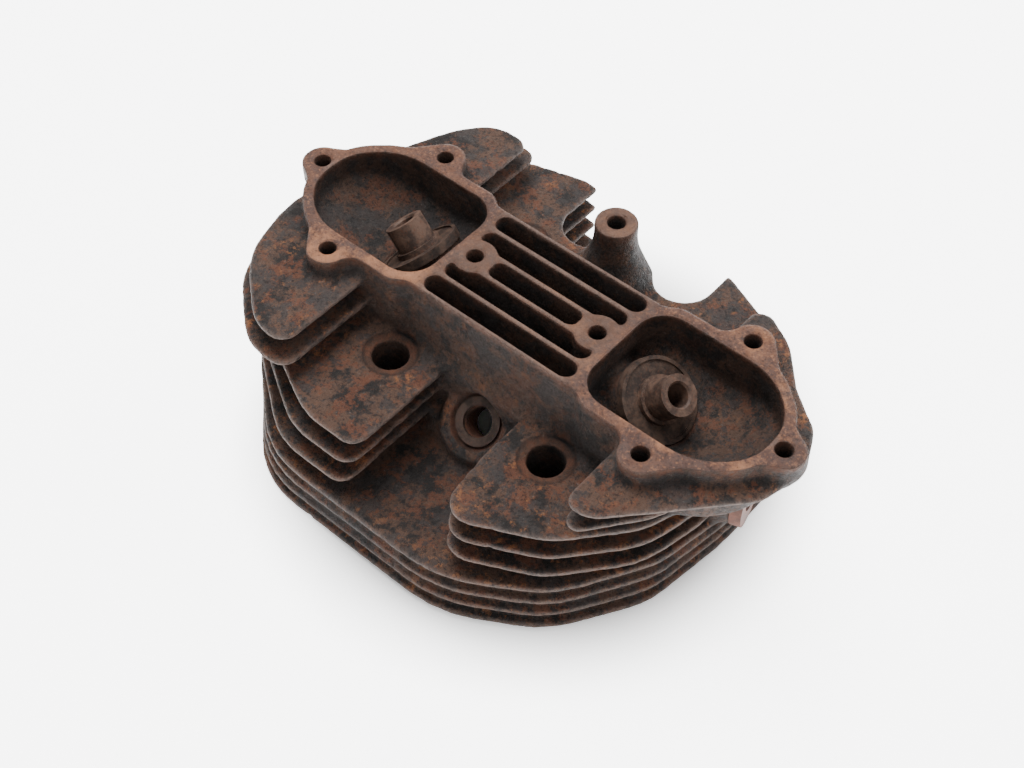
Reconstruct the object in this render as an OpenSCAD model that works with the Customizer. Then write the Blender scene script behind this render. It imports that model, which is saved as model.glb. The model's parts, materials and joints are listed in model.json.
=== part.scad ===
// Air-cooled overhead-valve cylinder head, bare, for one cylinder.
// The joint face lies on z = 0 with the bore centred on the origin. +Z is up, +X points to the
// exhaust well and -Y to the sparking-plug side. The pushrod side is +Y.

/* [Head] */
// height from the joint face to the rocker gasket faces
head_h = 90; // [80:1:100]
// radius of the hemispherical combustion chamber
chamber_r = 44; // [40:0.5:48]
// radius of the register that locates the head on the barrel
register_r = 48; // [45:0.5:52]
// depth of the register
register_depth = 4; // [2:0.5:6]
// wall between the chamber and the outside of the dome
dome_wall = 13; // [8:1:18]

/* [Head bolts] */
// half the spacing of the head bolts along X
bolt_x = 42; // [38:0.5:46]
// half the spacing of the head bolts along Y
bolt_y = 42.5; // [38:0.5:46]
// radius of the head bolt holes
bolt_hole_r = 7.9; // [6:0.1:9]
// radius of the spot faces round the bolt holes
spot_face_r = 11.5; // [10:0.5:14]
// depth of the spot faces
spot_face_depth = 0.8; // [0:0.1:2]
// radius of the solid columns that carry the bolts
column_r = 12; // [11:0.5:15]

/* [Fins] */
// thickness of every fin
fin_t = 3; // [2:0.1:4]
// upper faces of the two top fins beside the wells
top_fin_z = [81, 70]; // [60:1:85]
// upper faces of the three bolt-plate fins
plate_fin_z = [58.5, 47.5, 36.5]; // [30:0.5:60]
// upper faces of the four full fins
full_fin_z = [25.5, 18.5, 11.5, 4.5]; // [3:0.5:30]
// front edge of the lowest fin
fin_front_y = -98.5; // [-105:0.5:-90]

/* [Rocker wells] */
// distance from the bore centre to the flat inner wall of a well
well_in_x = 42; // [40:0.5:46]
// half the width of a well
well_half_w = 27; // [24:0.5:30]
// thickness of the gasket rim
rim_w = 5; // [4:0.5:7]
// height of the middle of the well floor
well_floor_z = 62; // [60:0.5:70]
// radius of the dished well floor
well_floor_r = 60; // [50:1:80]
// radius of the tapped holes for the rocker cover studs
stud_hole_r = 3.6; // [3:0.1:5]
// depth of the tapped stud holes
stud_hole_depth = 14; // [10:1:18]
// radius of the stud lugs
lug_r = 9; // [7:0.5:11]

/* [Valve gear] */
// lean of each valve from upright, in degrees
valve_lean = 40.5; // [35:0.5:45]
// distance of the end of each guide from where the valve axes cross
guide_end = 111.9; // [105:0.1:116]
// radius of the guide
guide_r = 8.5; // [7:0.1:10]
// radius of the stem bore in the guide
stem_bore_r = 4.8; // [4:0.05:5.5]
// length of the guide that stands above its spring seat
guide_stand = 12.8; // [10:0.1:16]
// overall length of the guide
guide_len = 51; // [45:1:60]
// outer radius of the spring seat
spring_seat_r = 17.9; // [15:0.1:20]
// thickness of the spring seat
spring_seat_t = 4; // [2:0.5:5]
// outer radius of the valve seat rings
valve_seat_r = 20.5; // [18:0.5:22]
// throat radius of the valve seat rings
throat_r = 16.5; // [14:0.5:18]

/* [Ports] */
// height of both ports above the joint face
port_z = 38.2; // [34:0.2:42]
// radius of the exhaust port
exhaust_r = 17; // [14:0.5:19]
// sideways angle of the exhaust port, in degrees
exhaust_angle = 17; // [0:1:30]
// outer radius of the exhaust stub
stub_r = 24; // [22:0.5:28]
// distance from the bend to the outer end of the exhaust stub
exhaust_len = 71.3; // [60:0.1:80]
// radius of the inlet port
inlet_r = 15; // [12:0.5:17]
// depth of the wider mouth that takes the carburettor spigot
spigot_depth = 20; // [10:1:30]
// position of the carburettor face
inlet_face_x = -126; // [-130:1:-120]
// half the spacing of the carburettor studs
inlet_stud_y = 27; // [24:0.5:30]

/* [Sparking plug] */
// centre of the sparking plug seat
plug_seat = [0, -35, 40]; // [-60:0.5:60]
// radius of the plug hole, for a 14 mm thread
plug_hole_r = 6.3; // [6:0.05:7]
// radius of the recess round the plug seat
plug_recess_r = 12; // [10:0.5:14]
// outer radius of the plug boss
plug_boss_r = 17.5; // [14:0.5:18]

/* [Pushrod side] */
// distance of the pushrod channels from the centre line
channel_x = 25; // [20:0.5:30]
// distance of the pushrod channels behind the bore centre
channel_y = 70.5; // [65:0.5:75]
// radius of the pushrod channels
channel_r = 13.4; // [12:0.2:16]
// distance of the pillar behind the bore centre
pillar_y = 53; // [48:0.5:58]
// radius of the pillar
pillar_r = 9.3; // [8:0.1:11]
// radius of the tapped hole in the pillar
pillar_hole_r = 3.9; // [3.5:0.1:5]

/* [Hidden] */
$fn = 72;
iron = "#5a4740";
iron_dark = "#4a403c";
steel_brown = "#7d6250";
cross_z = head_h - 6.8 - 72.7 / tan(valve_lean);
spring_plane = guide_end - guide_stand;
bend_s = (port_z - cross_z) / cos(valve_lean);
bend_x = bend_s * sin(valve_lean);
stub_flange_t = 5;
seat_face_s = sqrt(chamber_r * chamber_r - valve_seat_r * valve_seat_r);
slot_w = 8.6;
slot_pitch = 11;
slot_floor_z = 56;
block_half_w = 28.2;
rim_h = 10;
stud_places = [[120, 0], [81, 36], [81, -36], [32, 0]];
side = [1, -1];

// unit vector along v
function unit(v) = v / norm(v);

// points of the arc that rounds corner q, between its neighbours p and s
function corner(p, q, s, r) =
    let (u = unit(p - q), v = unit(s - q), half = acos(u * v) / 2,
         c = q + unit(u + v) * r / sin(half), reach = r / tan(half),
         a = q + u * reach - c, b = q + v * reach - c, sweep = 180 - 2 * half,
         turn = a[0] * b[1] - a[1] * b[0] > 0 ? 1 : -1, n = max(1, ceil(sweep / 10)))
    [for (i = [0 : n])
        let (t = turn * sweep * i / n)
        c + [a[0] * cos(t) - a[1] * sin(t), a[0] * sin(t) + a[1] * cos(t)]];

// closed outline through vertices [x, y, radius]
function rounded(v) =
    let (n = len(v), xy = [for (p = v) [p[0], p[1]]])
    [for (i = [0 : n - 1])
        each (v[i][2] > 0 ? corner(xy[(i + n - 1) % n], xy[i], xy[(i + 1) % n], v[i][2])
                          : [xy[i]])];

// flat plate of the given outline with its upper face at z
module plate(v, z, t) {
    translate([0, 0, z - t])
        linear_extrude(height = t)
            polygon(rounded(v));
}

// puts children on a valve axis: z runs up the axis from where the axes cross
module on_valve_axis(s) {
    translate([0, 0, cross_z])
        rotate([0, s * valve_lean, 0])
            children();
}

// puts children on the sparking plug axis: z = 0 on the seat, z up towards the outside
module on_plug_axis() {
    translate(plug_seat)
        rotate([45, 0, 0])
            children();
}

// puts children on the exhaust port axis: z = 0 at the bend, z towards the outlet
module on_exhaust_axis() {
    translate([bend_x, 0, port_z])
        rotate([0, 0, exhaust_angle])
            rotate([0, 90, 0])
                children();
}

// outline of a rocker well, widened all round by g
function well_outline(g) = [
    [well_in_x - g, -well_half_w - g, 13 + g], [98 + 0.4 * g, -well_half_w - g, 30 + g],
    [114.3 + g, -11 - 0.4 * g, 22 + g], [114.3 + g, 11 + 0.4 * g, 22 + g],
    [98 + 0.4 * g, well_half_w + g, 30 + g], [well_in_x - g, well_half_w + g, 13 + g]];

// one long side of the gasket rim, from the middle block to the end lug; s is the side of y
function rim_side(s) = [
    [30, s * block_half_w, 0], [43.5, s * block_half_w, 8], [50, s * 32.5, 8],
    [69, s * 32.5, 6], [76, s * 43.5, 0], [87, s * 42.9, 0], [96.5, s * 31.5, 8],
    [106, s * 26, 14], [115.5, s * 13, 8], [123, s * 8.4, 0]];

// outline of the gasket rim with the webs of its lugs
function rim_outline() =
    let (near = rim_side(-1), far = rim_side(1), n = len(far))
    [each near, for (i = [n - 1 : -1 : 0]) far[i]];

// back edge shared by the lower fins, from the exhaust end round to the inlet end
back_edge = [[100.5, 45, 25], [80, 68, 25], [41, 84.5, 6], [-46, 91.5, 8], [-96, 78, 30],
             [-120, 40, 30]];

// outline of a full fin, drawn in by g at the front
function full_outline(g) = [
    [-70 + 2 * g, fin_front_y + g, 50], [32 - 0.8 * g, fin_front_y + g, 60],
    [71 - 0.4 * g, -76 + 1.6 * g, 50], [94.5 - 0.4 * g, -38.4 + 2.2 * g, 40],
    [100.5, 5, 60], each back_edge, [-120, -50, 50]];

// outline of the left half of a bolt-plate fin
function left_plate(g, edge_x) = [
    [edge_x, fin_front_y + g, 8], [edge_x, 0, 0], [0, 0, 0], [0, 88, 0],
    [-46, 91.5, 8], [-96, 78, 30], [-119, 40, 30], [-119, -52, 50],
    [-70 + 2 * g, fin_front_y + g, 40]];

// outline of the right half of a bolt-plate fin, carried forward by g
function right_plate(g) = [
    [25.6, -90.8 - g, 10.5], [67, -70.7 - g, 30], [92, -42 - 0.5 * g, 38], [98.5, -15, 55],
    [100.5, 45, 25], [80, 68, 25], [41, 84.5, 6], [0, 88, 0], [0, 0, 0], [21, 0, 0],
    [21.5, -58, 20]];

// outline of a top fin on the left side, widened by g
function left_top(g) = [
    [-63.6 + 0.6 * g, -79.5 - g, 8], [-63.6 + 0.6 * g, 0, 0], [-65, 0, 0],
    [-65, 74.5 + 2 * g, 7], [-85 - g, 74.5 + g, 20], [-97 - g, 60 + g, 25],
    [-107 - g, 36 + g, 20], [-118 - g, 12, 12], [-119.3 - g, -25, 40],
    [-111.5 - g, -54.3 - 0.8 * g, 42], [-81 - 0.7 * g, -79.5 - g, 25]];

// outline of the uppermost fin on the right side
right_top = [
    [68.5, 0, 0], [68.5, -67, 6], [81, -65.5, 14], [124, -18.5, 15], [129.3, 3, 10],
    [121, 21.5, 15], [104, 34.5, 12], [90, 51, 25], [75, 59.5, 6], [68.5, 57, 5]];

// outline of the second fin on the right side
right_second = [
    [69, 0, 0], [69, -68.5, 5], [77, -66.5, 5], [98, -39, 30], [100, 10, 30],
    [98, 40, 20], [84, 55, 20], [69, 58, 6]];

module fins() {
    for (i = [0, 1])
        plate(left_top(3.6 * i), top_fin_z[i], fin_t);
    plate(right_top, top_fin_z[0], fin_t);
    plate(right_second, top_fin_z[1], fin_t);
    for (i = [0 : 2]) {
        plate(left_plate(11 - 3 * i, -19 - 1.6 * i), plate_fin_z[i], fin_t);
        plate(right_plate(1.4 * i), plate_fin_z[i], fin_t);
    }
    for (i = [0 : 3])
        plate(full_outline(2.4 - 0.8 * i), full_fin_z[i], fin_t);
}

// dome over the chamber, on its joint ring
module dome() {
    intersection() {
        translate([0, 0, cross_z])
            sphere(r = chamber_r + dome_wall);
        cylinder(r = chamber_r + dome_wall + 1, h = head_h);
    }
}

// block between the wells, before the air slots are cut
module middle_block() {
    translate([48, 0, 0])
        rotate([90, 0, -90])
            linear_extrude(height = 96)
                polygon([[block_half_w, head_h], [block_half_w + 1, 64], [33, 57], [33, 20],
                         [-33, 20], [-33, 57], [-block_half_w - 1, 64],
                         [-block_half_w, head_h]]);
}

// air slots that run across the head between the wells, round the inner stud lugs
module air_slots() {
    difference() {
        for (i = [-2 : 2]) {
            reach = [23, 37, 38.4][abs(i)];
            translate([0, i * slot_pitch, slot_floor_z]) {
                translate([slot_w / 2 - reach, -slot_w / 2, 0])
                    cube([2 * reach - slot_w, slot_w, head_h]);
                for (s = side)
                    translate([s * (reach - slot_w / 2), 0, 0])
                        cylinder(d = slot_w, h = head_h);
            }
        }
        for (s = side)
            translate([s * stud_places[3][0], 0, slot_floor_z - 1])
                cylinder(r = lug_r + 0.6, h = head_h);
    }
}

// outside of one rocker well with its lugs, on the +X side
module well_body() {
    intersection() {
        plate(well_outline(rim_w), head_h, 48);
        translate([72, 0, well_floor_z + well_floor_r])
            sphere(r = well_floor_r + 15);
    }
    plate(rim_outline(), head_h, rim_h);
    for (p = stud_places)
        translate([p[0], p[1], head_h - rim_h]) {
            cylinder(r = lug_r, h = rim_h);
            translate([0, 0, -8])
                cylinder(r1 = lug_r - 3.2, r2 = lug_r, h = 8);
        }
}

// hollow of one rocker well, on the +X side
module well_hollow() {
    intersection() {
        plate(well_outline(0), head_h + 1, 60);
        translate([72, 0, well_floor_z + well_floor_r])
            sphere(r = well_floor_r);
    }
}

// raised boss under one spring seat
module guide_boss() {
    translate([0, 0, bend_s])
        cylinder(r = spring_seat_r - 1, h = spring_plane - spring_seat_t - bend_s);
}

// bore for one guide and the throat above the valve seat
module valve_bores() {
    translate([0, 0, bend_s])
        cylinder(r = guide_r, h = guide_end);
    cylinder(r = throat_r, h = bend_s);
    translate([0, 0, seat_face_s - 1])
        cylinder(r = valve_seat_r, h = 9);
    translate([0, 0, spring_plane - spring_seat_t])
        cylinder(r = spring_seat_r + 0.4, h = 40);
}

// pillar with a foot that flares out to the bolt plates
module pillar() {
    foot = [for (i = [0 : 8]) [pillar_r + 17 * pow(i / 8, 2), 84 - 34 * i / 8]];
    translate([0, pillar_y, 0])
        rotate_extrude()
            polygon([[0, 20], [0, head_h], [pillar_r, head_h], each foot,
                     [foot[8][0], 20]]);
    translate([-14, 25, 20])
        cube([28, 30, 46]);
}

module exhaust_housing() {
    on_exhaust_axis()
        cylinder(r = stub_r, h = exhaust_len - stub_flange_t);
}

module inlet_housing() {
    translate([inlet_face_x, 0, port_z])
        rotate([0, 90, 0])
            cylinder(r = inlet_r + 6, h = -inlet_face_x - bend_x);
    translate([inlet_face_x, -inlet_stud_y, port_z - 8])
        cube([8, 2 * inlet_stud_y, 16]);
    for (s = side)
        translate([inlet_face_x, s * inlet_stud_y, port_z])
            rotate([0, 90, 0])
                cylinder(r = 8, h = 8);
}

module exhaust_passage() {
    on_exhaust_axis() {
        sphere(r = exhaust_r - 1);
        cylinder(r = exhaust_r - 1, h = exhaust_len + 1);
        translate([0, 0, exhaust_len - 25])
            cylinder(r = exhaust_r + 3, h = 30);
    }
}

module inlet_passage() {
    translate([-bend_x, 0, port_z]) {
        sphere(r = inlet_r - 1);
        rotate([0, -90, 0])
            cylinder(r = inlet_r - 1, h = 100);
    }
    translate([inlet_face_x - 1, 0, port_z])
        rotate([0, 90, 0])
            cylinder(r = inlet_r, h = spigot_depth + 1);
    for (s = side)
        translate([inlet_face_x - 1, s * inlet_stud_y, port_z])
            rotate([0, 90, 0])
                cylinder(r = 3.4, h = 16);
}

module plug_boss() {
    on_plug_axis()
        translate([0, 0, -20])
            cylinder(r = plug_boss_r, h = 23);
}

module plug_cuts() {
    on_plug_axis() {
        translate([0, 0, -30])
            cylinder(r = plug_hole_r, h = 40);
        cylinder(r = plug_recess_r, h = 40);
    }
}

module pushrod_cuts() {
    for (s = side)
        translate([s * channel_x, channel_y, -1]) {
            cylinder(r = channel_r, h = head_h);
            translate([-channel_r, 0, 0])
                cube([2 * channel_r, 40, head_h]);
        }
    translate([-channel_x, 64, -1])
        cube([2 * channel_x, 40, head_h + 2]);
}

module head_casting() {
    color(iron)
        difference() {
            union() {
                dome();
                middle_block();
                fins();
                for (s = side)
                    mirror([s < 0 ? 1 : 0, 0, 0]) {
                        well_body();
                        on_valve_axis(1)
                            guide_boss();
                    }
                for (sx = side, sy = side)
                    translate([sx * bolt_x, sy * bolt_y, 0])
                        cylinder(r = column_r, h = plate_fin_z[0]);
                exhaust_housing();
                inlet_housing();
                pillar();
                plug_boss();
            }
            air_slots();
            translate([0, 0, cross_z])
                sphere(r = chamber_r);
            translate([0, 0, -1])
                cylinder(r = register_r, h = register_depth + 1);
            for (s = side)
                mirror([s < 0 ? 1 : 0, 0, 0]) {
                    difference() {
                        well_hollow();
                        on_valve_axis(1)
                            guide_boss();
                    }
                    on_valve_axis(1)
                        valve_bores();
                    for (p = stud_places)
                        translate([p[0], p[1], head_h - stud_hole_depth])
                            cylinder(r = stud_hole_r, h = stud_hole_depth + 1);
                }
            for (sx = side, sy = side)
                translate([sx * bolt_x, sy * bolt_y, -1]) {
                    cylinder(r = bolt_hole_r, h = head_h);
                    translate([0, 0, plate_fin_z[0] - spot_face_depth + 1])
                        cylinder(r = spot_face_r, h = 20);
                }
            exhaust_passage();
            inlet_passage();
            plug_cuts();
            pushrod_cuts();
            translate([0, pillar_y, head_h - 25])
                cylinder(r = pillar_hole_r, h = 26);
        }
}

// one valve guide, on its axis
module guide() {
    difference() {
        union() {
            translate([0, 0, guide_end - guide_len])
                cylinder(r = guide_r, h = guide_len);
            translate([0, 0, spring_plane - 0.8])
                cylinder(r = guide_r + 1.6, h = 2.4);
        }
        translate([0, 0, guide_end - guide_len - 1])
            cylinder(r = stem_bore_r, h = guide_len + 2);
        translate([0, 0, guide_end - 0.8])
            cylinder(r1 = stem_bore_r, r2 = stem_bore_r + 0.9, h = 0.9);
    }
}

// one spring seat, a shallow cup round its guide
module spring_seat() {
    translate([0, 0, spring_plane - spring_seat_t])
        difference() {
            cylinder(r = spring_seat_r, h = spring_seat_t);
            translate([0, 0, -1])
                cylinder(r = guide_r, h = spring_seat_t + 2);
            translate([0, 0, spring_seat_t - 0.8])
                cylinder(r = spring_seat_r - 1.6, h = 1);
        }
}

// one valve seat ring, flush with the chamber
module valve_seat() {
    difference() {
        translate([0, 0, seat_face_s - 1])
            cylinder(r = valve_seat_r, h = 9);
        cylinder(r = throat_r, h = 100);
        translate([0, 0, seat_face_s - 1])
            cylinder(r1 = throat_r + 4, r2 = throat_r, h = 4);
        sphere(r = chamber_r);
    }
}

module exhaust_guide() {
    color(steel_brown)
        on_valve_axis(1)
            guide();
}

module inlet_guide() {
    color(steel_brown)
        on_valve_axis(-1)
            guide();
}

module exhaust_spring_seat() {
    color(iron_dark)
        on_valve_axis(1)
            spring_seat();
}

module inlet_spring_seat() {
    color(iron_dark)
        on_valve_axis(-1)
            spring_seat();
}

module exhaust_valve_seat() {
    color(iron_dark)
        on_valve_axis(1)
            valve_seat();
}

module inlet_valve_seat() {
    color(iron_dark)
        on_valve_axis(-1)
            valve_seat();
}

module exhaust_stub() {
    color("#a5806c")
        on_exhaust_axis()
            difference() {
                union() {
                    translate([0, 0, exhaust_len - stub_flange_t])
                        cylinder(r = stub_r, h = stub_flange_t);
                    translate([0, 0, exhaust_len - 25])
                        cylinder(r = exhaust_r + 3, h = 21);
                }
                translate([0, 0, exhaust_len - 26])
                    cylinder(r = exhaust_r, h = 30);
            }
}

module plug_washer() {
    color(steel_brown)
        on_plug_axis()
            difference() {
                cylinder(r = 10.5, h = 1.5);
                translate([0, 0, -1])
                    cylinder(r = plug_hole_r + 0.6, h = 4);
            }
}

head_casting();
exhaust_guide();
inlet_guide();
exhaust_spring_seat();
inlet_spring_seat();
exhaust_valve_seat();
inlet_valve_seat();
exhaust_stub();
plug_washer();
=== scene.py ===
"""Looks of a rusty, bare, air-cooled cylinder head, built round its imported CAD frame.

The casting is rebuilt from its CAD solid as a level set, which gives it the fillets, rounded fin
edges and uneven skin of a sand casting. Its machined faces stay crisp. Values named _MM are in
millimetres, and places are in the CAD frame: joint face on z = 0, +Z up.
"""

import json
import math

import bpy
import numpy as np
import openvdb as vdb
from mathutils import Matrix, Vector


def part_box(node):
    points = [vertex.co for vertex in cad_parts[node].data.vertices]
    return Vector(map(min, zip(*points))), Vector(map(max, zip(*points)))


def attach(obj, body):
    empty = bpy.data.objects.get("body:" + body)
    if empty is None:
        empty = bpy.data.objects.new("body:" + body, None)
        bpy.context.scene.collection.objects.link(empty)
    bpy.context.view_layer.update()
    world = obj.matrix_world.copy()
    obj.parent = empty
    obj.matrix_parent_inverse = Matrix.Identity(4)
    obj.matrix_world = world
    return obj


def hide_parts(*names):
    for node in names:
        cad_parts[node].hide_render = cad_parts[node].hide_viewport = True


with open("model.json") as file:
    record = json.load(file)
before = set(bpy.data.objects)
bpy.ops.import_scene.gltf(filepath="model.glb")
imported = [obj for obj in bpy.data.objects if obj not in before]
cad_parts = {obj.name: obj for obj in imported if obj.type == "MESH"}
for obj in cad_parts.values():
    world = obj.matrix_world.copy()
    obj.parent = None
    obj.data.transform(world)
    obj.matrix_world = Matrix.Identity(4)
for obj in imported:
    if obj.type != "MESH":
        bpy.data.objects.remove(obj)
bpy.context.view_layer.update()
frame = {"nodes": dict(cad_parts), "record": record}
nodes = frame["nodes"]
MM = 0.001

# ---------------------------------------------------------------- sizes of the head
# box of the casting, from the CAD frame
LOW_MM = np.array(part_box("head_casting")[0]) / MM
HIGH_MM = np.array(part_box("head_casting")[1]) / MM
HEAD_H_MM = float(HIGH_MM[2])

# faces that are cut after casting, as the CAD source places them
BOLT_X_MM, BOLT_Y_MM = 42.0, 42.5
SPOT_FACE_R_MM, SPOT_Z_MM = 11.5, 57.7
VALVE_LEAN = math.radians(40.5)
GUIDE_END_X_MM, GUIDE_END_DROP_MM = 72.7, 6.8
VALVE_CROSS_MM = (0.0, 0.0, HEAD_H_MM - GUIDE_END_DROP_MM - GUIDE_END_X_MM / math.tan(VALVE_LEAN))
VALVE_AXIS = (math.sin(VALVE_LEAN), 0.0, math.cos(VALVE_LEAN))
SPRING_SEAT_R_MM, SPRING_SEAT_FACE_MM = 17.9, 99.1
PLUG_SEAT_MM = (0.0, -35.0, 40.0)
PLUG_AXIS = (0.0, -math.sqrt(0.5), math.sqrt(0.5))
PLUG_RECESS_R_MM = 12.0
CHAMBER_R_MM, REGISTER_R_MM = 44.0, 48.0

# depths below the top, and heights above the joint face, between which a cut face ends
TOP_CUT_MM = (3.5, 2.5)
JOINT_CUT_MM = (1.2, 0.6)
# how far each other cut reaches past its own face, to take in the edge
REGISTER_REACH_MM, REGISTER_CUT_TOP_MM = 1.5, 5.5
SPOT_REACH_MM, SPOT_CUT_DEPTH_MM = 0.6, 1.0
PLUG_REACH_MM, PLUG_CUT_MM = 0.6, (-14, 6)
SEAT_REACH_MM, SEAT_CUT_MIDDLE_MM, SEAT_CUT_HALF_MM = 0.9, 2.0, 3.5
CHAMBER_REACH_MM = 1.0

# ---------------------------------------------------------------- the casting as a level set
VOXEL_MM = 0.75
BAND_VOXELS = 4
CAP_MM = 3 * VOXEL_MM
WELD_MM = 0.001
FILLET_MM = 1.5
EDGE_MM = 0.5
CASTING_FACES = 230_000

# height and size of each kind of unevenness in the cast skin
LUMP_MM, LUMP_SIZE_MM = 0.10, 9.0
GRAIN_MM, GRAIN_SIZE_MM = 0.09, 2.2
PIT_MM, PIT_SIZE_MM, PIT_PATCH_MM = 0.30, 3.5, 30.0
PIT_LEVELS, PIT_PATCH_LEVELS = (0.35, 0.75), (0.0, 0.5)

# the step round a spot face, darkened as painted shade
RING_WIDTH_MM, RING_LOW_MM, RING_HIGH_MM = 0.7, 1.0, 2.0

# cells on each side that the share of solid round a surface point is taken over
NEAR_CELLS, WIDE_CELLS = 3, 9
# shares of solid at which an outer edge, an inner corner and a hollow start, and are full
EDGE_SHARES, NOOK_SHARES, DEEP_SHARES = (0.40, 0.22), (0.56, 0.80), (0.34, 0.62)

# half widths between which the darker tops of the middle ribs end
MIDDLE_MM = (44, 36)


def mesh_arrays(obj):
    """Vertices in millimetres, and triangles, of an object's own mesh."""
    mesh = obj.data
    mesh.calc_loop_triangles()
    points = np.empty(len(mesh.vertices) * 3, np.float32)
    mesh.vertices.foreach_get("co", points)
    tris = np.empty(len(mesh.loop_triangles) * 3, np.int32)
    mesh.loop_triangles.foreach_get("vertices", tris)
    return points.reshape(-1, 3) / MM, tris.reshape(-1, 3)


def welded(points, tris):
    """The same triangles with vertices at one place joined, so that the surface is closed."""
    keys = np.round(points / WELD_MM).astype(np.int64)
    _, first, place = np.unique(keys, axis=0, return_index=True, return_inverse=True)
    tris = place.ravel()[tris].astype(np.uint32)
    a, b, c = tris.T
    return points[first], tris[(a != b) & (b != c) & (a != c)]


def level_set(points, tris, quads, half):
    """Narrow-band signed distance grid of a closed mesh."""
    return vdb.FloatGrid.createLevelSetFromPolygons(
        points, triangles=tris, quads=quads,
        transform=vdb.createLinearTransform(voxelSize=VOXEL_MM), halfWidth=half)


def offset(grid, distance_mm, half):
    """Level set of the surface that lies distance_mm outside this one."""
    points, tris, quads = grid.convertToPolygons(isovalue=distance_mm, adaptivity=0)
    return level_set(points, tris, quads, half)


def dense(grid, corner, shape, cap):
    """Signed distances of a grid as an array in millimetres, capped."""
    values = np.empty(shape, np.float32)
    grid.copyToArray(values, ijk=tuple(int(c) for c in corner))
    return np.clip(values, -cap, cap)


def soften(values):
    """One binomial blur along each axis."""
    for axis in range(3):
        values = (values + 0.5 * (np.roll(values, 1, axis) + np.roll(values, -1, axis))) / 2
    return values


def box_blur(values, radius):
    """Mean over a cube of 2 radius + 1 cells a side."""
    width = 2 * radius + 1
    for axis in range(3):
        pad = [(0, 0)] * 3
        pad[axis] = (radius + 1, radius)
        total = np.cumsum(np.pad(values, pad, mode="edge"), axis=axis, dtype=np.float32)
        n = values.shape[axis]
        upper = np.take(total, range(width, width + n), axis=axis)
        lower = np.take(total, range(n), axis=axis)
        values = (upper - lower) / width
    return values


def lumps(shape, size_mm, seed):
    """Smooth random field with a feature size in millimetres, about -1 to 1."""
    rng = np.random.default_rng(seed)
    cells = [int(n * VOXEL_MM / size_mm) + 3 for n in shape]
    field = rng.uniform(-1, 1, cells).astype(np.float32)
    for axis in range(3):
        at = np.arange(shape[axis]) * VOXEL_MM / size_mm
        low = at.astype(int)
        t = at - low
        t = (t * t * (3 - 2 * t)).astype(np.float32)
        t = t.reshape([-1 if a == axis else 1 for a in range(3)])
        field = (np.take(field, low, axis=axis) * (1 - t)
                 + np.take(field, low + 1, axis=axis) * t)
    return field


def ramp(values, low, high):
    """0 at low, 1 at high, smooth between. high may be below low."""
    t = np.clip((values - low) / (high - low), 0, 1)
    return t * t * (3 - 2 * t)


def from_axis(point, origin, axis):
    """Distances along an axis from its origin, and away from the axis."""
    offset = [p - o for p, o in zip(point, origin)]
    along = sum(o * a for o, a in zip(offset, axis))
    away = np.sqrt(sum((o - along * a) ** 2 for o, a in zip(offset, axis)))
    return along, away


def from_bolt(x, y):
    """Distance from the nearest of the four bolt holes, seen from above."""
    return np.hypot(np.abs(x) - BOLT_X_MM, np.abs(y) - BOLT_Y_MM)


def machined(x, y, z):
    """1 on the faces that were cut after casting, 0 on the cast skin."""
    top = ramp(z, *(HEAD_H_MM - depth for depth in TOP_CUT_MM))
    joint = ramp(z, *JOINT_CUT_MM)
    register = (np.hypot(x, y) < REGISTER_R_MM + REGISTER_REACH_MM) & (z < REGISTER_CUT_TOP_MM)
    spots = ((from_bolt(x, y) < SPOT_FACE_R_MM + SPOT_REACH_MM)
             & (z > SPOT_Z_MM - SPOT_CUT_DEPTH_MM))
    along, away = from_axis((x, y, z), PLUG_SEAT_MM, PLUG_AXIS)
    plug = ((away < PLUG_RECESS_R_MM + PLUG_REACH_MM)
            & (along > PLUG_CUT_MM[0]) & (along < PLUG_CUT_MM[1]))
    along, away = from_axis((np.abs(x), y, z), VALVE_CROSS_MM, VALVE_AXIS)
    seats = ((away < SPRING_SEAT_R_MM + SEAT_REACH_MM)
             & (np.abs(along - SPRING_SEAT_FACE_MM + SEAT_CUT_MIDDLE_MM) < SEAT_CUT_HALF_MM))
    from_centre_2 = x * x + y * y + (z - VALVE_CROSS_MM[2]) ** 2
    chamber = from_centre_2 < (CHAMBER_R_MM + CHAMBER_REACH_MM) ** 2
    flags = register | spots | plug | seats | chamber
    return np.maximum(np.maximum(top, joint), flags.astype(np.float32))


def spot_rings(x, y, z):
    """1 in the step round each spot face, 0 elsewhere."""
    ring = np.exp(-((from_bolt(x, y) - SPOT_FACE_R_MM) / RING_WIDTH_MM) ** 2)
    return ring * (z > SPOT_Z_MM - RING_LOW_MM) * (z < SPOT_Z_MM + RING_HIGH_MM)


def grid_places(corner, shape):
    """Coordinates of the grid's cells, ready to broadcast."""
    return np.meshgrid(*[(corner[a] + np.arange(shape[a])).astype(np.float32) * VOXEL_MM
                         for a in range(3)], indexing="ij", sparse=True)


def sample(values, corner, points):
    """Trilinear value of a grid at points in millimetres."""
    at = points / VOXEL_MM - corner
    low = np.clip(np.floor(at).astype(int), 0, np.array(values.shape) - 2)
    t = np.clip(at - low, 0, 1)
    total = 0
    for i in (0, 1):
        for j in (0, 1):
            for k in (0, 1):
                weight = abs(1 - i - t[:, 0]) * abs(1 - j - t[:, 1]) * abs(1 - k - t[:, 2])
                total = total + weight * values[low[:, 0] + i, low[:, 1] + j, low[:, 2] + k]
    return total


def new_mesh_object(name, points, faces, material):
    """An object in the scene with a mesh of these points and faces."""
    mesh = bpy.data.meshes.new(name)
    mesh.from_pydata(points, [], faces)
    obj = bpy.data.objects.new(name, mesh)
    bpy.context.scene.collection.objects.link(obj)
    obj.data.materials.append(material)
    return obj


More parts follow.
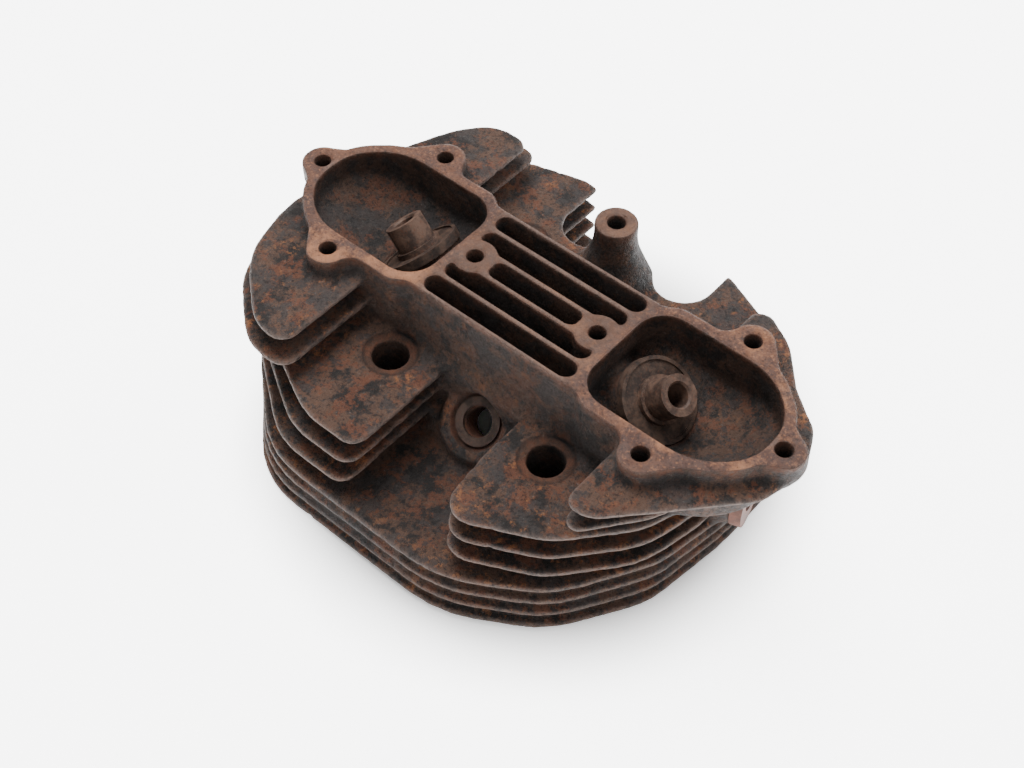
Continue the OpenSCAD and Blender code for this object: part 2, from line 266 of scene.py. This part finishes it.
def cast_solid(node):
    """Signed distances of the casting with fillets, rounded edges and an uneven skin.

    Also gives the grid cell of the array's first corner.
    """
    points, tris = welded(*mesh_arrays(nodes[node]))
    no_quads = np.empty((0, 4), np.uint32)
    exact = level_set(points.astype(np.float32), tris, no_quads, BAND_VOXELS)
    filled = offset(exact, FILLET_MM, BAND_VOXELS + 1)
    rounded = offset(filled, -FILLET_MM - EDGE_MM, BAND_VOXELS)

    corner = np.floor(LOW_MM / VOXEL_MM).astype(int) - BAND_VOXELS
    shape = tuple(np.ceil(HIGH_MM / VOXEL_MM).astype(int) + BAND_VOXELS + 1 - corner)
    crisp = soften(dense(exact, corner, shape, CAP_MM))
    cast = soften(dense(rounded, corner, shape, CAP_MM + EDGE_MM) - EDGE_MM)
    cut = soften(machined(*grid_places(corner, shape)).astype(np.float32))

    skin = LUMP_MM * lumps(shape, LUMP_SIZE_MM, 1) + GRAIN_MM * lumps(shape, GRAIN_SIZE_MM, 2)
    pits = ramp(lumps(shape, PIT_SIZE_MM, 3), *PIT_LEVELS)
    pits *= ramp(lumps(shape, PIT_PATCH_MM, 4), *PIT_PATCH_LEVELS)
    skin += PIT_MM * pits
    return crisp * cut + (cast + skin) * (1 - cut), corner


def surface_object(name, solid, corner, material):
    """A triangle mesh on the zero surface of signed distances in an array."""
    grid = vdb.FloatGrid(CAP_MM)
    grid.transform = vdb.createLinearTransform(voxelSize=VOXEL_MM)
    grid.copyFromArray(solid.astype(np.float32), ijk=tuple(int(c) for c in corner))
    points, tris, quads = grid.convertToPolygons(isovalue=0.0, adaptivity=0)
    faces = np.concatenate([quads[:, [0, 1, 2]], quads[:, [0, 2, 3]], tris])[:, ::-1]
    obj = new_mesh_object(name, [], [], material)
    mesh = obj.data
    mesh.vertices.add(len(points))
    mesh.vertices.foreach_set("co", (points * MM).astype(np.float32).ravel())
    mesh.loops.add(len(faces) * 3)
    mesh.loops.foreach_set("vertex_index", faces.astype(np.int32).ravel())
    mesh.polygons.add(len(faces))
    mesh.polygons.foreach_set("loop_start", np.arange(len(faces), dtype=np.int32) * 3)
    mesh.update(calc_edges=True)
    return obj


def keep_in_box(mesh):
    """Moves vertices past the casting's box back onto it, and gives them all in millimetres."""
    points = np.empty(len(mesh.vertices) * 3, np.float32)
    mesh.vertices.foreach_get("co", points)
    points = np.clip(points.reshape(-1, 3) / MM, LOW_MM, HIGH_MM)
    mesh.vertices.foreach_set("co", (points * MM).astype(np.float32).ravel())
    return points


def cast_skin(node, material):
    """The object that stands for the casting, with the numbers that its material reads."""
    solid, corner = cast_solid(node)
    obj = surface_object("casting", solid, corner, material)
    thin(obj, CASTING_FACES)
    mesh = obj.data
    points = keep_in_box(mesh)
    filling = np.clip(0.5 - solid / VOXEL_MM, 0, 1).astype(np.float32)
    near = sample(box_blur(filling, NEAR_CELLS), corner, points)
    wide = sample(box_blur(box_blur(filling, WIDE_CELLS), WIDE_CELLS), corner, points)
    # edge marks where wear and painted highlight go; nook, deep and seam mark where painted shade
    # goes
    paint(mesh, "edge", ramp(near, *EDGE_SHARES))
    paint(mesh, "nook", ramp(near, *NOOK_SHARES))
    paint(mesh, "deep", ramp(wide, *DEEP_SHARES))
    paint(mesh, "cut", machined(*points.T))
    paint(mesh, "seam", spot_rings(*points.T))
    paint(mesh, "middle", ramp(np.abs(points[:, 0]), *MIDDLE_MM))
    mesh.shade_smooth()
    return obj


def thin(obj, faces):
    """Collapses edges where the surface is flattest, down to so many triangles."""
    modifier = obj.modifiers.new("thin", "DECIMATE")
    modifier.ratio = min(1.0, faces / len(obj.data.polygons))
    depsgraph = bpy.context.evaluated_depsgraph_get()
    obj.data = bpy.data.meshes.new_from_object(obj.evaluated_get(depsgraph))
    obj.modifiers.clear()


def paint(mesh, name, values):
    """Stores one number for each vertex, for a material to read."""
    layer = mesh.attributes.new(name, "FLOAT", "POINT")
    layer.data.foreach_set("value", np.asarray(values, np.float32))


# ---------------------------------------------------------------- materials
BLACK_IRON = (0.0115, 0.0095, 0.0088)
BROWN_IRON = (0.070, 0.038, 0.0255)
BLUE_IRON = (0.031, 0.0265, 0.0255)
RED_RUST = (0.105, 0.037, 0.019)
ORANGE_RUST = (0.245, 0.098, 0.038)
# pale: rubbed specks, and on outer edges also a painted highlight
PALE_WEAR_AND_HIGHLIGHT = (0.135, 0.092, 0.075)
RIM_MAUVE = (0.058, 0.029, 0.0215)
RIM_BROWN = (0.098, 0.043, 0.0255)
RIM_TAN = (0.330, 0.145, 0.070)
BORE_BROWN = (0.038, 0.019, 0.012)
# near black: dark specks, and also the painted shade in corners, hollows and spot-face steps
SOOT_AND_SHADE = (0.0035, 0.003, 0.003)
ASH = (0.170, 0.160, 0.150)

# specular level: rust shines little
SHEEN = 0.28
# how far flakes push the outlines of the larger patches in and out
RAGGED = 0.55
# depths below the top of the head between which the colour of the rims ends
RIM_DEPTHS_MM = (0.6, 0.3)
# relief of the two kinds of surface
CAST_RELIEF_MM, TURNED_RELIEF_MM = 1.1, 0.22


class Shader:
    """A material under construction, with short names for the nodes it is made of."""

    def __init__(self, name):
        self.material = bpy.data.materials.new(name)
        self.material.use_nodes = True
        self.tree = self.material.node_tree
        self.surface = self.tree.nodes["Principled BSDF"]
        self.place = self.tree.nodes.new("ShaderNodeTexCoord").outputs["Object"]

    def put(self, value, socket):
        """Links a socket, or sets a constant."""
        if isinstance(value, bpy.types.NodeSocket):
            self.tree.links.new(value, socket)
        elif isinstance(value, tuple) and len(value) == 3 and socket.type == "RGBA":
            socket.default_value = (*value, 1.0)
        else:
            socket.default_value = value

    def noise(self, size_mm, seed, detail=4.0, rough=0.6):
        """Cloudy noise round 0.5 with features of a size. Each seed gives another pattern."""
        node = self.tree.nodes.new("ShaderNodeTexNoise")
        node.noise_dimensions = "4D"
        self.put(self.place, node.inputs["Vector"])
        self.put(float(seed) * 3.7, node.inputs["W"])
        self.put(1 / (size_mm * MM), node.inputs["Scale"])
        self.put(detail, node.inputs["Detail"])
        self.put(rough, node.inputs["Roughness"])
        return node.outputs["Fac"]

    def step(self, value, low, high):
        """0 at low, 1 at high, smooth between. high may be below low."""
        node = self.tree.nodes.new("ShaderNodeMapRange")
        node.interpolation_type = "SMOOTHSTEP"
        self.put(value, node.inputs["Value"])
        if low > high:
            low, high = high, low
            node.inputs["To Min"].default_value, node.inputs["To Max"].default_value = 1.0, 0.0
        node.inputs["From Min"].default_value = low
        node.inputs["From Max"].default_value = high
        return node.outputs["Result"]

    def maths(self, kind, a, b):
        """Result of one sum on two values or sockets."""
        node = self.tree.nodes.new("ShaderNodeMath")
        node.operation = kind
        self.put(a, node.inputs[0])
        self.put(b, node.inputs[1])
        return node.outputs[0]

    def times(self, a, b):
        return self.maths("MULTIPLY", a, b)

    def plus(self, a, b):
        return self.maths("ADD", a, b)

    def span(self, share, at_0, at_1):
        """A value that goes evenly from at_0 where the share is 0 to at_1 where it is 1."""
        return self.plus(at_0, self.times(share, at_1 - at_0))

    def over(self, under, colour, *shares):
        """A colour laid over another by the product of the shares."""
        node = self.tree.nodes.new("ShaderNodeMix")
        node.data_type = "RGBA"
        share = shares[0]
        for factor in shares[1:]:
            share = self.times(share, factor)
        self.put(share, node.inputs["Factor"])
        self.put(under, node.inputs[6])
        self.put(colour, node.inputs[7])
        return node.outputs[2]

    def attribute(self, name):
        """A number that paint() stored for each vertex."""
        node = self.tree.nodes.new("ShaderNodeAttribute")
        node.attribute_name = name
        return node.outputs["Fac"]

    def up_part(self, vector):
        """Z of a vector."""
        split = self.tree.nodes.new("ShaderNodeSeparateXYZ")
        self.put(vector, split.inputs[0])
        return split.outputs["Z"]

    def facing_up(self):
        """1 where the surface faces up, 0 where it stands upright."""
        node = self.tree.nodes.new("ShaderNodeNewGeometry")
        return self.up_part(node.outputs["Normal"])

    def above(self, low_mm, high_mm):
        """0 below the first height, 1 above the second."""
        return self.step(self.up_part(self.place), low_mm * MM, high_mm * MM)

    def away(self, near_m, far_m):
        """0 nearer the origin than near_m, 1 beyond far_m."""
        node = self.tree.nodes.new("ShaderNodeVectorMath")
        node.operation = "LENGTH"
        self.put(self.place, node.inputs[0])
        return self.step(node.outputs["Value"], near_m, far_m)

    def finish(self, colour, roughness, height, depth_mm, metal=0.0):
        """Joins colour, roughness and relief to the surface, and gives the material."""
        self.put(colour, self.surface.inputs["Base Color"])
        self.put(roughness, self.surface.inputs["Roughness"])
        self.put(metal, self.surface.inputs["Metallic"])
        self.put(SHEEN, self.surface.inputs["Specular IOR Level"])
        bump = self.tree.nodes.new("ShaderNodeBump")
        bump.inputs["Strength"].default_value = 1.0
        bump.inputs["Distance"].default_value = depth_mm * MM
        self.put(height, bump.inputs["Height"])
        self.put(bump.outputs["Normal"], self.surface.inputs["Normal"])
        return self.material


def rusty_casting():
    """Dark brown cast skin with rust and blue-grey scale, browner cut faces, edges of wear and
    painted highlight, and painted shade.
    """
    s = Shader("rusty_cast_iron")
    edge, nook, deep = s.attribute("edge"), s.attribute("nook"), s.attribute("deep")
    broad, patch = s.noise(75, 1, 3), s.noise(20, 2, 8, 0.72)
    flake, speck = s.noise(6, 3, 8, 0.78), s.noise(1.3, 4, 4, 0.7)
    fine = s.noise(0.55, 5, 3, 0.6)
    ragged = s.times(s.plus(flake, -0.5), RAGGED)
    up = s.step(s.facing_up(), 0.3, 0.9)

    # cast skin: brown over black, then red rust, orange bloom, blue-grey scale, painted shade on
    # upright faces, and specks
    skin = s.over(BLACK_IRON, BROWN_IRON, s.step(s.plus(patch, ragged), 0.43, 0.52))
    rust = s.step(s.plus(s.noise(11, 7, 7, 0.75), ragged), 0.50, 0.56)
    skin = s.over(skin, RED_RUST, rust, s.span(up, 0.35, 0.70))
    bloom = s.step(s.plus(s.noise(7, 8, 7, 0.75), ragged), 0.54, 0.62)
    skin = s.over(skin, ORANGE_RUST, bloom, s.step(broad, 0.43, 0.54), s.span(deep, 1.0, 0.0),
                  s.span(up, 0.25, 0.70))
    scale = s.step(s.plus(s.noise(16, 6, 8, 0.75), ragged), 0.515, 0.550)
    skin = s.over(skin, BLUE_IRON, scale, 0.85)
    # painted shade: faces that stand upright are darkened towards black iron, as if lit less from
    # above
    skin = s.over(skin, BLACK_IRON, s.span(up, 1.0, 0.0), 0.40)
    skin = s.over(skin, PALE_WEAR_AND_HIGHLIGHT, s.step(fine, 0.45, 0.80), 0.16)
    skin = s.over(skin, ASH, s.step(speck, 0.60, 0.70), 0.30)
    skin = s.over(skin, SOOT_AND_SHADE, s.step(speck, 0.48, 0.36), 0.65)

    # top faces of the rims, lugs and ribs: mauve-brown with tan stretches
    rim = s.over(RIM_MAUVE, RIM_BROWN, s.step(patch, 0.42, 0.58))
    tan = s.step(s.plus(s.times(broad, 0.6), s.times(patch, 0.4)), 0.51, 0.58)
    rim = s.over(rim, RIM_TAN, tan, 0.55)
    rim = s.over(rim, BLACK_IRON, s.step(flake, 0.46, 0.32), 0.5)
    rim = s.over(rim, RIM_TAN, s.step(speck, 0.54, 0.64), 0.35)
    rim = s.over(rim, SOOT_AND_SHADE, s.step(speck, 0.46, 0.36), 0.55)
    rim = s.over(rim, BROWN_IRON, s.attribute("middle"), 0.6)
    rim_top = s.times(s.above(*(HEAD_H_MM - depth for depth in RIM_DEPTHS_MM)), up)

    # the other cut faces, then edges of wear and painted highlight, and painted shade in corners
    # and hollows
    bore = s.over(BORE_BROWN, RED_RUST, s.step(flake, 0.42, 0.60), 0.7)
    colour = s.over(skin, bore, s.attribute("cut"), 0.8)
    colour = s.over(colour, rim, rim_top)
    # painted highlight mixed with wear: outer edges lightened, broken up by flakes and specks
    edge_wear_and_highlight = s.step(s.plus(s.times(flake, 0.5), s.times(speck, 0.5)), 0.36, 0.60)
    colour = s.over(colour, PALE_WEAR_AND_HIGHLIGHT, edge, edge_wear_and_highlight, 0.65)
    # painted shade: inner corners, hollows and the steps round the spot faces darkened to near
    # black
    painted_shade = s.plus(s.times(nook, 0.45), s.times(deep, 0.32))
    painted_shade = s.plus(painted_shade, s.times(s.attribute("seam"), 0.7))
    colour = s.over(colour, SOOT_AND_SHADE, painted_shade)

    rough = s.span(s.step(flake, 0.4, 0.65), 0.55, 0.87)
    height = s.plus(s.times(speck, 0.8), s.plus(s.times(fine, 0.45), s.times(flake, 1.2)))
    height = s.times(height, s.span(rim_top, 1.0, 0.4))
    return s.finish(colour, rough, height, CAST_RELIEF_MM)


def turned_metal(name, dark, light, rust, metal):
    """A turned part that has tarnished: light and dark patches, with rust in specks."""
    s = Shader(name)
    patch, speck = s.noise(6, 11, 5, 0.7), s.noise(1.1, 12, 4, 0.7)
    colour = s.over(dark, light, s.step(patch, 0.38, 0.62))
    colour = s.over(colour, RED_RUST, s.step(speck, 0.52, 0.68), rust)
    colour = s.over(colour, SOOT_AND_SHADE, s.step(speck, 0.42, 0.28), 0.6)
    height = s.plus(speck, s.times(patch, 0.8))
    return s.finish(colour, s.span(patch, 0.45, 0.85), height, TURNED_RELIEF_MM, metal)


# ---------------------------------------------------------------- the pieces
casting = cast_skin("head_casting", rusty_casting())
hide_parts("head_casting")
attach(casting, "root")

# material of each slot whose nodes keep their CAD shape
NODE_LOOKS = {
    "guide": turned_metal("tarnished_guide", dark=(0.035, 0.021, 0.016),
                          light=(0.105, 0.062, 0.044), rust=0.5, metal=0.1),
    "spring_seat": turned_metal("oily_seat", dark=(0.024, 0.016, 0.013),
                                light=(0.070, 0.043, 0.031), rust=0.4, metal=0.2),
    "valve_seat": turned_metal("ground_seat", dark=(0.060, 0.052, 0.048),
                               light=(0.220, 0.200, 0.185), rust=0.2, metal=0.7),
    "stub": turned_metal("stub_steel", dark=(0.055, 0.022, 0.015),
                         light=(0.120, 0.049, 0.033), rust=0.4, metal=0.1),
    "washer": turned_metal("dull_copper", dark=(0.021, 0.0135, 0.0105),
                           light=(0.056, 0.036, 0.028), rust=0.3, metal=0.2),
}
for part in frame["record"]["subparts"]:
    if part["node"] in nodes and part["material_slot"] in NODE_LOOKS:
        for material_slot in nodes[part["node"]].material_slots:
            material_slot.material = NODE_LOOKS[part["material_slot"]]

# ---------------------------------------------------------------- floor, light and camera
FLOOR_M = 6.0
PAPER = (0.90, 0.90, 0.90)
# the paper glows, but not under the head, where the holes would show it
FLOOR_GLOW = 5.0
GLOW_FROM_M, GLOW_FULL_M = 0.09, 0.14
WORLD_STRENGTH = 0.42
LIGHT_AIM = Vector((0, 0, 0.05))

paper = Shader("white_paper")
floor_look = paper.finish(PAPER, roughness=0.9, height=paper.noise(40, 21), depth_mm=0.02)
paper.surface.inputs["Emission Color"].default_value = (1, 1, 1, 1)
paper.put(paper.times(paper.away(GLOW_FROM_M, GLOW_FULL_M), FLOOR_GLOW),
          paper.surface.inputs["Emission Strength"])
half = FLOOR_M / 2
floor = new_mesh_object(
    "floor", [(-half, -half, 0), (half, -half, 0), (half, half, 0), (-half, half, 0)],
    [(0, 1, 2, 3)], floor_look)


def soft_box(name, at, size, power):
    """A square area light at a place, aimed at the head."""
    light = bpy.data.lights.new(name, "AREA")
    light.size = size
    light.energy = power
    obj = bpy.data.objects.new(name, light)
    bpy.context.scene.collection.objects.link(obj)
    turn = (LIGHT_AIM - Vector(at)).to_track_quat("-Z", "Y").to_matrix().to_4x4()
    obj.matrix_world = Matrix.Translation(at) @ turn


soft_box("key", (-0.35, 0.20, 1.20), 0.8, 31)
soft_box("fill", (0.9, -0.6, 0.9), 0.9, 6)
soft_box("back", (0.3, 1.1, 0.8), 0.6, 10)

world = bpy.data.worlds.new("studio")
world.use_nodes = True
background = world.node_tree.nodes["Background"]
background.inputs["Color"].default_value = (1, 1, 1, 1)
background.inputs["Strength"].default_value = WORLD_STRENGTH
bpy.context.scene.world = world

CAMERA_AT = Vector((0.2639, -0.3217, 0.5400))
CAMERA_LOOK = Vector((-0.4126, 0.4810, -0.7736)).normalized()
LENS_MM, SENSOR_MM = 53.73, 36
camera = bpy.data.cameras.new("camera")
camera.lens = LENS_MM
camera.sensor_width = SENSOR_MM
camera_obj = bpy.data.objects.new("camera", camera)
bpy.context.scene.collection.objects.link(camera_obj)
camera_right = CAMERA_LOOK.cross(Vector((0, 0, 1))).normalized()
camera_up = camera_right.cross(CAMERA_LOOK)
camera_turn = Matrix((camera_right, camera_up, -CAMERA_LOOK)).transposed().to_4x4()
camera_obj.matrix_world = Matrix.Translation(CAMERA_AT) @ camera_turn
bpy.context.scene.camera = camera_obj
